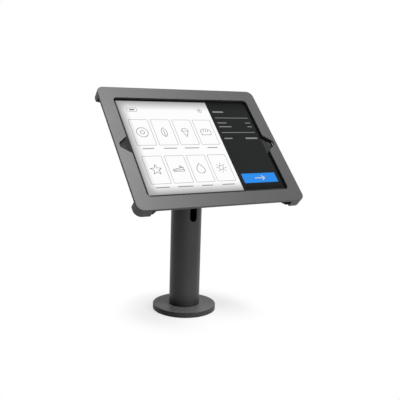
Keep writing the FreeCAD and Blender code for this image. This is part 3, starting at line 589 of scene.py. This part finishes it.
def strokeShape(path, width, low, high, closed=True):
    # a rectangle of the width, carried along the path: p -+ width / 2 * left normal, mitred
    ahead = np.roll(path, -1, axis=0) - path
    behind = path - np.roll(path, 1, axis=0)
    if not closed:
        ahead[-1], behind[0] = behind[-1], ahead[0]
    ahead /= np.linalg.norm(ahead, axis=1)[:, None]
    behind /= np.linalg.norm(behind, axis=1)[:, None]
    along = ahead + behind
    along /= np.linalg.norm(along, axis=1)[:, None]
    left = np.column_stack((-along[:, 1], along[:, 0]))
    mitre = np.clip((along * ahead).sum(1), 0.35, 1.0)  # the clip cuts the point of a sharp corner short
    offset = left * (width / 2 / mitre)[:, None]
    count = len(path)
    corners = ((offset, low), (-offset, low), (-offset, high), (offset, high))
    ring = np.stack([np.column_stack((path + shift, np.full(count, level)))
                     for shift, level in corners], axis=1)
    k = np.arange(count if closed else count - 1)
    following = (k + 1) % count
    faces = []
    for a, b in ((0, 1), (1, 2), (2, 3), (3, 0)):
        faces += np.column_stack((4 * k + a, 4 * following + a, 4 * following + b, 4 * k + b)).tolist()
    if not closed:
        last = 4 * (count - 1)
        faces += [(0, 1, 2, 3), (last + 3, last + 2, last + 1, last)]
    return ring.reshape(-1, 3), faces


def joinShapes(shapes):
    # several shapes as one, each face's indices counted on from the points before it
    points, faces, start = [], [], 0
    for shapePoints, shapeFaces in shapes:
        points.append(shapePoints)
        faces += [[index + start for index in face] for face in shapeFaces]
        start += len(shapePoints)
    return np.vstack(points), faces


def arc(centreX, centreY, radiusX, radiusY, startAngle, endAngle, steps):
    # (cx + rx cos t, cy + ry sin t), angles in degrees
    t = np.radians(np.linspace(startAngle, endAngle, steps))
    return np.column_stack((centreX + radiusX * np.cos(t), centreY + radiusY * np.sin(t)))


def loop(centreX, centreY, radiusX, radiusY, steps=32):
    # a whole turn of the arc, without its doubled last point
    return arc(centreX, centreY, radiusX, radiusY, 0.0, 360.0, steps + 1)[:-1]


def roundedOutline(left, right, bottom, top, radius, steps=5):
    # four quarter circles, one at each corner, anticlockwise from the lower right
    return np.vstack([arc(right - radius, bottom + radius, radius, radius, 270, 360, steps),
                      arc(right - radius, top - radius, radius, radius, 0, 90, steps),
                      arc(left + radius, top - radius, radius, radius, 90, 180, steps),
                      arc(left + radius, bottom + radius, radius, radius, 180, 270, steps)])


# The picture on the screen

picture = {
    "left": -0.1116, "right": 0.1130, "bottom": -0.0858, "top": 0.0877,
    "split": 0.0400,
    "sheet": 0.00002,
    "step": 0.00003,
    "sideShade": 0.0155,
    "topShade": 0.0180,
    "columns": 4,
    "rows": 2,
    "cardGap": 0.0046,
    "cardMargin": 0.0092,
    "cardSpare": 0.003,
    "cardHeight": 0.0490,
    "cardRound": 0.0012,
    "rowTop": 0.0505,
    "rowPitch": 0.0690,
    "outline": 0.00055,
    "stroke": 0.00080,
    "icon": 0.0088,
    "kinds": ("ring", "leaf", "cone", "loaf", "star", "wedge", "drop", "sun"),
    "captionDrop": 0.0062,
    "captionHeight": 0.0018,
    "captionHalf": (0.30, 0.35, 0.40),  # shares of a card's width, by turns
    "barRound": 0.45,
    "roughness": 0.12,
    "specular": 0.03,
    "glow": 1.0,
}

# The header's pill is left, right, bottom and top, and each bar its two ends and its height. The pill
# and its bar count from the page's left edge, the ring and its bar leftwards from the split.
header = {
    "pill": (0.0125, 0.0290, 0.0665, 0.0735),
    "pillRound": 0.0034,
    "pillBar": (0.0165, 0.0250, 0.0022),
    "middle": 0.0700,
    "ringInset": 0.0165,
    "ringRadius": 0.0038,
    "ringBar": (0.0184, 0.0146, 0.0018),
}

# The dark panel beside the cards. Each of its bars is a side, length, middle and height.
panel = {
    "inset": 0.0065,
    "margin": 0.0050,
    "rules": (0.0555, 0.0250),
    "ruleHeight": 0.0011,
    "bars": (("left", 0.0200, 0.0680, 0.0029), ("left", 0.0170, 0.0450, 0.0017),
             ("left", 0.0230, 0.0370, 0.0017), ("right", 0.0098, 0.0450, 0.0015),
             ("right", 0.0086, 0.0370, 0.0015), ("left", 0.0150, 0.0130, 0.0022),
             ("right", 0.0225, 0.0130, 0.0031)),
    "buttonInset": 0.0073,
    "buttonMargin": 0.0056,
    "buttonBottom": -0.0735,
    "buttonTop": -0.0560,
    "buttonRound": 0.0006,
    "arrowShift": 0.001,
    "arrowMiddle": -0.0648,
    "arrowTail": (-0.009, 0.008),
    "arrowHead": ((0.0035, -0.0690), (0.0085, -0.0648), (0.0035, -0.0606)),
    "arrowWidth": 0.0016,
}


def layer(k):
    # the back and front of a thin sheet over the glass, k steps out
    low = head["glassFront"] + picture["sheet"] + k * picture["step"]
    return low, low + picture["sheet"]


def makeScreenMaterial(name, colour, rimShadeColour):
    # a lit picture: its colour, falling to a darker colour near the left, lower and upper rim, which is
    # painted shade of the frame's recess
    material, tree, shader = startMaterial(name, (0.0, 0.0, 0.0), roughness=picture["roughness"],
                                           specular=picture["specular"])
    shader.inputs["Emission Strength"].default_value = picture["glow"]
    place = useGroup(tree, "headPlace").outputs[0]
    parts = addNode(tree, "ShaderNodeSeparateXYZ")
    tree.links.new(place, parts.inputs[0])
    x, y = parts.outputs["X"], parts.outputs["Y"]
    side, above = picture["sideShade"], picture["topShade"]
    shade = addRange(tree, x, picture["left"], picture["left"] + side, 0.0, 1.0)
    low = addRange(tree, y, picture["bottom"], picture["bottom"] + side, 0.0, 1.0)
    high = addRange(tree, y, picture["top"] - above, picture["top"], 1.0, 0.0)
    shade = addMath(tree, "MULTIPLY", addMath(tree, "MULTIPLY", shade, low), high)
    tree.links.new(mixColours(tree, shade, rimShadeColour, colour), shader.inputs["Emission Color"])
    return material


# the second colour of each is its painted shade at the window's rim
screenColours = {
    "field": makeScreenMaterial("pictureWhite", (0.975, 0.975, 0.975), (0.37, 0.37, 0.37)),
    "panel": makeScreenMaterial("pictureDark", (0.0190, 0.0215, 0.0205), (0.008, 0.008, 0.008)),
    "line": makeScreenMaterial("pictureLine", (0.09, 0.09, 0.09), (0.06, 0.06, 0.06)),
    "soft": makeScreenMaterial("pictureSoftGrey", (0.17, 0.17, 0.17), (0.10, 0.10, 0.10)),
    "faint": makeScreenMaterial("pictureFaintGrey", (0.36, 0.36, 0.36), (0.22, 0.22, 0.22)),
    "muted": makeScreenMaterial("pictureMuted", (0.27, 0.27, 0.27), (0.23, 0.23, 0.23)),
    "pale": makeScreenMaterial("picturePale", (0.62, 0.62, 0.62), (0.50, 0.50, 0.50)),
    "blue": makeScreenMaterial("pictureBlue", (0.028, 0.270, 0.830), (0.020, 0.20, 0.62)),
}


def starPath(x, y, size):
    # ten points, outer and inner radius by turns
    angles = np.radians(90.0 + 36.0 * np.arange(10))
    radius = np.where(np.arange(10) % 2 == 0, size, size * 0.45)
    return np.column_stack((x + radius * np.cos(angles), y + radius * np.sin(angles)))


def dropPath(x, y, size):
    # a circle whose top is drawn up to a point: size * (0.95 cos t * the root of (1 - sin t) / 2, sin t)
    t = np.radians(np.linspace(90.0, 450.0, 41)[:-1])
    width = np.sqrt(np.clip((1.0 - np.sin(t)) / 2.0, 0.0, 1.0))
    return np.column_stack((x + size * 0.95 * np.cos(t) * width, y + size * np.sin(t)))


def iconShapes(kind, x, y, size, low, high):
    # small line drawings, each about two sizes tall
    line = picture["stroke"]

    def draw(path, closed=True):
        return strokeShape(np.asarray(path, float), line, low, high, closed)

    if kind == "ring":
        return [draw(loop(x, y, size, size)), draw(loop(x, y, size * 0.36, size * 0.36, 20))]
    if kind == "leaf":
        right = arc(x - size * 0.75, y, size * 1.25, size * 1.25, -52, 52, 15)
        left = arc(x + size * 0.75, y, size * 1.25, size * 1.25, 128, 232, 15)
        return [draw(np.vstack([right, left[1:-1]])),
                draw([(x, y - size * 0.8), (x, y + size * 0.55)], False)]
    if kind == "cone":
        scoop = arc(x, y + size * 0.25, size * 0.62, size * 0.62, 0, 180, 15)
        return [draw(np.vstack([scoop, [(x, y - size)]])),
                draw([(x - size * 0.62, y + size * 0.25), (x + size * 0.62, y + size * 0.25)], False)]
    if kind == "loaf":
        crust = arc(x, y, size, size * 0.72, 0, 180, 17)
        body = np.vstack([crust, [(x - size * 0.86, y - size * 0.62), (x + size * 0.86, y - size * 0.62)]])
        cuts = [draw([(x + size * k - size * 0.14, y + size * 0.05),
                      (x + size * k + size * 0.14, y + size * 0.42)], False) for k in (-0.42, 0.0, 0.42)]
        return [draw(body)] + cuts
    if kind == "star":
        return [draw(starPath(x, y, size))]
    if kind == "wedge":
        body = [(x - size, y - size * 0.45), (x + size * 0.9, y - size * 0.45),
                (x + size * 0.9, y + size * 0.35), (x - size, y - size * 0.05)]
        return [draw(body), draw([(x - size, y - size * 0.25), (x + size * 0.9, y - size * 0.08)], False),
                draw(loop(x + size * 0.45, y + size * 0.50, size * 0.17, size * 0.17, 14))]
    if kind == "drop":
        return [draw(dropPath(x, y, size))]
    rays = [draw([(x + size * 0.66 * math.cos(a), y + size * 0.66 * math.sin(a)),
                  (x + size * math.cos(a), y + size * math.sin(a))], False)
            for a in np.radians(45.0 * np.arange(8))]
    return [draw(loop(x, y, size * 0.44, size * 0.44, 22))] + rays


def slab(left, right, bottom, top, k):
    return prismShape(np.array([(left, bottom), (right, bottom), (right, top), (left, top)]), *layer(k))


def bar(left, right, middle, height, k):
    # a rectangle with rounded ends
    outline = roundedOutline(left, right, middle - height / 2, middle + height / 2,
                             height * picture["barRound"], 4)
    return prismShape(outline, *layer(k))


def makePicture():
    left, right, bottom, top = (picture[key] for key in ("left", "right", "bottom", "top"))
    split = picture["split"]

    def sheet(name, shapes, colour):
        points, faces = joinShapes(shapes)
        return makePiece(name, toWorld(points), faces, screenColours[colour], "screen")

    sheet("pictureField", [slab(left, split, bottom, top, 0)], "field")
    sheet("picturePanel", [slab(split, right, bottom, top, 0)], "panel")

    # cards in columns and rows, each a thin outline with a drawing, and a caption bar under it
    thin = picture["outline"]
    span = split - left - 2 * picture["cardMargin"] + picture["cardSpare"]
    width = (span - (picture["columns"] - 1) * picture["cardGap"]) / picture["columns"]
    outlines, drawings, captions = [], [], []
    for row in range(picture["rows"]):
        cardTop = picture["rowTop"] - row * picture["rowPitch"]
        for column in range(picture["columns"]):
            x0 = left + picture["cardMargin"] + column * (width + picture["cardGap"])
            x1, y0 = x0 + width, cardTop - picture["cardHeight"]
            outline = roundedOutline(x0, x1, y0, cardTop, picture["cardRound"], 4)
            outlines.append(strokeShape(outline, thin, *layer(1)))
            kind = picture["kinds"][row * picture["columns"] + column]
            drawings += iconShapes(kind, (x0 + x1) / 2, (y0 + cardTop) / 2, picture["icon"], *layer(1))
            half = width * picture["captionHalf"][(column + row) % 3]
            captions.append(bar((x0 + x1) / 2 - half, (x0 + x1) / 2 + half, y0 - picture["captionDrop"],
                                picture["captionHeight"], 1))

    # the header: a pill and a ring, each round a short bar
    x0, x1, y0, y1 = header["pill"]
    pill = roundedOutline(left + x0, left + x1, y0, y1, header["pillRound"], 6)
    ring = loop(split - header["ringInset"], header["middle"], header["ringRadius"], header["ringRadius"], 24)
    pillFrom, pillTo, pillHeight = header["pillBar"]
    ringFrom, ringTo, ringHeight = header["ringBar"]
    marks = [strokeShape(pill, thin, *layer(1)),
             bar(left + pillFrom, left + pillTo, header["middle"], pillHeight, 1),
             strokeShape(ring, thin, *layer(1)),
             bar(split - ringFrom, split - ringTo, header["middle"], ringHeight, 1)]
    sheet("pictureCards", outlines, "soft")
    sheet("pictureHeader", marks, "line")
    sheet("pictureDrawings", drawings, "line")
    sheet("pictureCaptions", captions, "faint")

    # the dark panel: rules, short bars, and the blue button with an arrow
    low, high = split + panel["inset"], right - panel["margin"]
    lines = [bar(low, high, middle, panel["ruleHeight"], 1) for middle in panel["rules"]]
    for side, length, middle, height in panel["bars"]:
        x0, x1 = (low, low + length) if side == "left" else (high - length, high)
        lines.append(bar(x0, x1, middle, height, 1))
    sheet("pictureRules", lines, "muted")
    button = roundedOutline(split + panel["buttonInset"], right - panel["buttonMargin"],
                            panel["buttonBottom"], panel["buttonTop"], panel["buttonRound"], 4)
    sheet("pictureButton", [prismShape(button, *layer(1))], "blue")
    middle = (split + right) / 2 + panel["arrowShift"]
    tail = np.array([(middle + x, panel["arrowMiddle"]) for x in panel["arrowTail"]])
    tip = np.array([(middle + x, y) for x, y in panel["arrowHead"]])
    arrow = [strokeShape(path, panel["arrowWidth"], *layer(2), closed=False) for path in (tail, tip)]
    sheet("pictureArrow", arrow, "pale")


makePicture()
print("picture made")


# Home button, dished, with a fine ring at its rim

homeButton = {
    "x": 0.122,
    "low": 0.0541,
    "high": 0.0559,
    "radius": 0.0055,
    "flangeRadius": 0.0064,
    "flangeHigh": 0.05495,
    "flangeEdge": 0.0001,
    "edgeDrop": 0.00012,
    "edgeWidth": 0.00010,
    "dish": 0.00035,
    "ring": 0.00045,
    "step": 0.00008,  # how far the dish starts below the ring, and the width of that slope
    "dishFrom": 0.0002,
    "dishTo": 0.0004,
    "dishRings": 12,
    "steps": 72,
    "base": (0.010, 0.010, 0.011),
    "capColour": (0.0070, 0.0070, 0.0076),
    "ringColour": (0.0240, 0.0240, 0.0250),
    "ringSoftness": 0.00005,
    "roughness": 0.50,
    "capRoughness": 0.55,
    "ringRoughness": 0.38,
    "specular": 0.25,
    "ringDepth": 0.000002,
}


def latheShape(profile, steps):
    # each (r, z) of the profile swept round z: (r cos t, r sin t, z), with a point at each end on the axis
    t = np.linspace(0.0, 2.0 * np.pi, steps, endpoint=False)
    inner = np.asarray(profile[1:-1], float)
    count = len(inner)
    radius, height = inner[:, :1], inner[:, 1:]
    rings = np.stack((radius * np.cos(t), radius * np.sin(t), np.repeat(height, steps, axis=1)), axis=2)
    points = np.vstack([[(0.0, 0.0, profile[0][1])], rings.reshape(-1, 3), [(0.0, 0.0, profile[-1][1])]])
    k = np.arange(steps)
    following = (k + 1) % steps
    faces = np.column_stack((np.zeros(steps, int), following + 1, k + 1)).tolist()
    for j in range(count - 1):
        a, b = 1 + j * steps, 1 + (j + 1) * steps
        faces += np.column_stack((a + k, a + following, b + following, b + k)).tolist()
    last = len(points) - 1
    top = 1 + (count - 1) * steps
    faces += np.column_stack((top + k, top + following, np.full(steps, last))).tolist()
    return points, faces


def makeButtonPlastic():
    # plain black plastic, a little paler and smoother on the ring
    ring = homeButton["radius"] - homeButton["ring"]
    material, tree, shader = startMaterial("buttonPlastic", homeButton["base"],
                                           roughness=homeButton["roughness"], specular=homeButton["specular"])
    place = headPlaceFrom(tree, homeButton["x"])
    lathe = useGroup(tree, "turning")
    tree.links.new(place, lathe.inputs["Vector"])
    onRing = addRange(tree, addReach(tree, place)[0], ring - homeButton["ringSoftness"], ring, 0.0, 1.0)
    tree.links.new(mixColours(tree, onRing, homeButton["capColour"], homeButton["ringColour"]),
                   shader.inputs["Base Color"])
    rough = addRange(tree, onRing, 0.0, 1.0, homeButton["capRoughness"], homeButton["ringRoughness"])
    tree.links.new(rough, shader.inputs["Roughness"])
    addBump(tree, shader, lathe.outputs["Height"], homeButton["ringDepth"])
    return material


def makeHomeButton():
    # the profile goes out under the flange, up its rim and in over the ring and the dish,
    # which lies at high - step - dish * (1 - (r / radius) squared)
    low, high, step = homeButton["low"], homeButton["high"], homeButton["step"]
    radius, flange, flangeHigh = homeButton["radius"], homeButton["flangeRadius"], homeButton["flangeHigh"]
    inner, dish, edge = radius - homeButton["ring"], homeButton["dish"], homeButton["flangeEdge"]
    rim = [(flange, low + edge), (flange, flangeHigh), (radius, flangeHigh),
           (radius, high - homeButton["edgeDrop"]), (radius - homeButton["edgeWidth"], high), (inner, high),
           (inner - step, high - step)]
    r = np.linspace(inner - homeButton["dishFrom"], homeButton["dishTo"], homeButton["dishRings"])
    bowl = list(zip(r, high - step - dish * (1.0 - (r / radius) ** 2)))
    profile = [(0.0, low), (flange - edge, low)] + rim + bowl + [(0.0, high - step - dish)]
    points, faces = latheShape(profile, homeButton["steps"])
    points[:, 0] += homeButton["x"]
    piece = makePiece("homeButtonCap", toWorld(points), faces, makeButtonPlastic(), "home",
                      smooth=True)
    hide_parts("home_button")


makeHomeButton()
print("home button made")


# Floor, light and camera

studio = {
    "floorSize": 12.0,
    "floorColour": (0.45, 0.45, 0.45),
    "floorRoughness": 0.9,
    "floorSeen": (0.84, 0.84, 0.84),
    "floorShadow": 0.30,
    "shadowPlace": (-0.006, 0.014, 0.0),
    "shadowNear": 0.045,
    "shadowFar": 0.130,
    "fill": 0.32,
    "topPlace": (0.34, -0.70, 2.2),
    "topSize": (0.30, 1.15),
    "topPower": 48.0,
    "topAim": (0.0, 0.0, 0.20),
    "sidePlace": (0.5, -1.7, 0.55),
    "sideSize": (1.5, 1.0),
    "sidePower": 10.0,
    "sideAim": (0.0, 0.0, 0.15),
    "spotPlace": (0.42, -0.85, 0.80),
    "spotAim": (0.008, -0.044, 0.009),
    "spotCone": 4.6,
    "spotRadius": 0.05,
    "spotPower": 85.0,
    "flagRadius": 1.25,
    "flagAngles": (229.0, 130.0),
    "flagFoot": 0.005,
    "flagHeight": 1.1,
    "flagSteps": 25,
    "flagColour": (0.004, 0.004, 0.004),
    "flagRoughness": 0.9,
}


def seenDirectly(tree):
    # 1 for camera, glossy and transmission rays, 0 for the rest
    rays = addNode(tree, "ShaderNodeLightPath")
    seen = addMath(tree, "MAXIMUM", rays.outputs["Is Camera Ray"], rays.outputs["Is Glossy Ray"])
    return addMath(tree, "MAXIMUM", seen, rays.outputs["Is Transmission Ray"])


def makeFloor():
    half = studio["floorSize"] / 2
    corners = [(-half, -half, 0.0), (half, -half, 0.0), (half, half, 0.0), (-half, half, 0.0)]
    mesh = bpy.data.meshes.new("studioFloor")
    mesh.from_pydata(corners, [], [(0, 1, 2, 3)])
    floor = bpy.data.objects.new("studioFloor", mesh)
    bpy.context.scene.collection.objects.link(floor)
    # pale paper that shows as white, with a share of its own shade kept near the stand for the shadow
    material, tree, shader = startMaterial("studioPaper", studio["floorColour"],
                                           roughness=studio["floorRoughness"], specular=0.0)
    place = addNode(tree, "ShaderNodeTexCoord").outputs["Object"]
    shift = addNode(tree, "ShaderNodeVectorMath", operation="ADD")
    shift.inputs[1].default_value = studio["shadowPlace"]
    tree.links.new(place, shift.inputs[0])
    distance = addNode(tree, "ShaderNodeVectorMath", operation="LENGTH")
    tree.links.new(shift.outputs[0], distance.inputs[0])
    white = addRange(tree, distance.outputs["Value"], studio["shadowNear"], studio["shadowFar"],
                     1.0 - studio["floorShadow"], 1.0, True)
    tree.links.new(mixColours(tree, seenDirectly(tree), studio["floorColour"], studio["floorSeen"]),
                   shader.inputs["Base Color"])
    glow = addNode(tree, "ShaderNodeEmission")
    glow.inputs["Strength"].default_value = 1.0
    mix = addNode(tree, "ShaderNodeMixShader")
    tree.links.new(addMath(tree, "MULTIPLY", white, seenDirectly(tree)), mix.inputs[0])
    tree.links.new(shader.outputs[0], mix.inputs[1])
    tree.links.new(glow.outputs[0], mix.inputs[2])
    tree.links.new(mix.outputs[0], tree.nodes["Material Output"].inputs["Surface"])
    mesh.materials.append(material)


def aimAt(place, target):
    # columns: right, up and back of a lamp at place that looks at target
    back = np.asarray(place, float) - np.asarray(target, float)
    back /= np.linalg.norm(back)
    helper = np.array([0.0, 1.0, 0.0]) if abs(back[2]) > 0.9 else np.array([0.0, 0.0, 1.0])
    right = np.cross(helper, back)
    right /= np.linalg.norm(right)
    up = np.cross(back, right)
    return Matrix([(right[0], up[0], back[0], place[0]), (right[1], up[1], back[1], place[1]),
                   (right[2], up[2], back[2], place[2]), (0.0, 0.0, 0.0, 1.0)])


def hangLamp(lamp, place, target):
    holder = bpy.data.objects.new(lamp.name, lamp)
    holder.matrix_world = aimAt(place, target)
    bpy.context.scene.collection.objects.link(holder)


def makeSoftbox(name, which):
    # which is the start of the lamp's keys in studio
    lamp = bpy.data.lights.new(name, "AREA")
    lamp.shape = "RECTANGLE"
    lamp.size, lamp.size_y = studio[which + "Size"]
    lamp.energy = studio[which + "Power"]
    hangLamp(lamp, studio[which + "Place"], studio[which + "Aim"])


def makeSpot():
    # a snooted lamp that reaches the front of the base from under the head
    lamp = bpy.data.lights.new("footSpot", "SPOT")
    lamp.energy = studio["spotPower"]
    lamp.spot_size = math.radians(studio["spotCone"])
    lamp.spot_blend = 1.0
    lamp.shadow_soft_size = studio["spotRadius"]
    hangLamp(lamp, studio["spotPlace"], studio["spotAim"])


def makeFlag():
    # a curved black card at the stand's left, unseen by the camera: (r cos t, r sin t) raised from the floor
    t = np.radians(np.linspace(*studio["flagAngles"], studio["flagSteps"]))
    foot = np.column_stack((studio["flagRadius"] * np.cos(t), studio["flagRadius"] * np.sin(t),
                            np.full(len(t), studio["flagFoot"])))
    points = np.vstack([foot, foot + (0.0, 0.0, studio["flagHeight"])])
    k = np.arange(len(t) - 1)
    faces = np.column_stack((k, k + 1, k + 1 + len(t), k + len(t))).tolist()
    mesh = bpy.data.meshes.new("blackFlag")
    mesh.from_pydata(points.tolist(), [], faces)
    cloth = startMaterial("blackCloth", studio["flagColour"], roughness=studio["flagRoughness"], specular=0.0)
    mesh.materials.append(cloth[0])
    flag = bpy.data.objects.new("blackFlag", mesh)
    flag.visible_camera = False
    bpy.context.scene.collection.objects.link(flag)


def makeWorld():
    world = bpy.data.worlds.new("studioWorld")
    bpy.context.scene.world = world
    world.use_nodes = True
    tree = world.node_tree
    fill, white = tree.nodes["Background"], addNode(tree, "ShaderNodeBackground")
    for light, strength in ((fill, studio["fill"]), (white, 1.0)):
        light.inputs["Color"].default_value = (1.0, 1.0, 1.0, 1.0)
        light.inputs["Strength"].default_value = strength
    mix = addNode(tree, "ShaderNodeMixShader")
    tree.links.new(seenDirectly(tree), mix.inputs[0])
    tree.links.new(fill.outputs[0], mix.inputs[1])
    tree.links.new(white.outputs[0], mix.inputs[2])
    tree.links.new(mix.outputs[0], tree.nodes["World Output"].inputs["Surface"])


viewpoint = {
    "place": (-0.46059, -0.84759, 0.33743),
    "azimuth": -0.5194,
    "elevation": 0.16514,
    "roll": 0.02995,
    "lens": 56.14,
    "sensor": 36.0,
    "near": 0.01,
}


def makeCamera():
    # back points from the scene to the camera, (sin az cos el, -cos az cos el, sin el), and the level
    # right and up turn about it by the roll
    az, el, roll = viewpoint["azimuth"], viewpoint["elevation"], viewpoint["roll"]
    back = np.array([math.sin(az) * math.cos(el), -math.cos(az) * math.cos(el), math.sin(el)])
    right = np.array([math.cos(az), math.sin(az), 0.0])
    up = np.cross(back, right)
    r2 = math.cos(roll) * right + math.sin(roll) * up
    u2 = -math.sin(roll) * right + math.cos(roll) * up
    data = bpy.data.cameras.new("studioCamera")
    data.sensor_width = viewpoint["sensor"]
    data.lens = viewpoint["lens"]
    data.clip_start = viewpoint["near"]
    camera = bpy.data.objects.new("studioCamera", data)
    place = viewpoint["place"]
    camera.matrix_world = Matrix([(r2[0], u2[0], back[0], place[0]), (r2[1], u2[1], back[1], place[1]),
                                  (r2[2], u2[2], back[2], place[2]), (0.0, 0.0, 0.0, 1.0)])
    bpy.context.scene.collection.objects.link(camera)
    bpy.context.scene.camera = camera


makeFloor()
makeSoftbox("topSoftbox", "top")
makeSoftbox("sideSoftbox", "side")
makeSpot()
makeFlag()
makeWorld()
makeCamera()
bpy.context.scene.view_settings.view_transform = "Standard"
print("studio made")
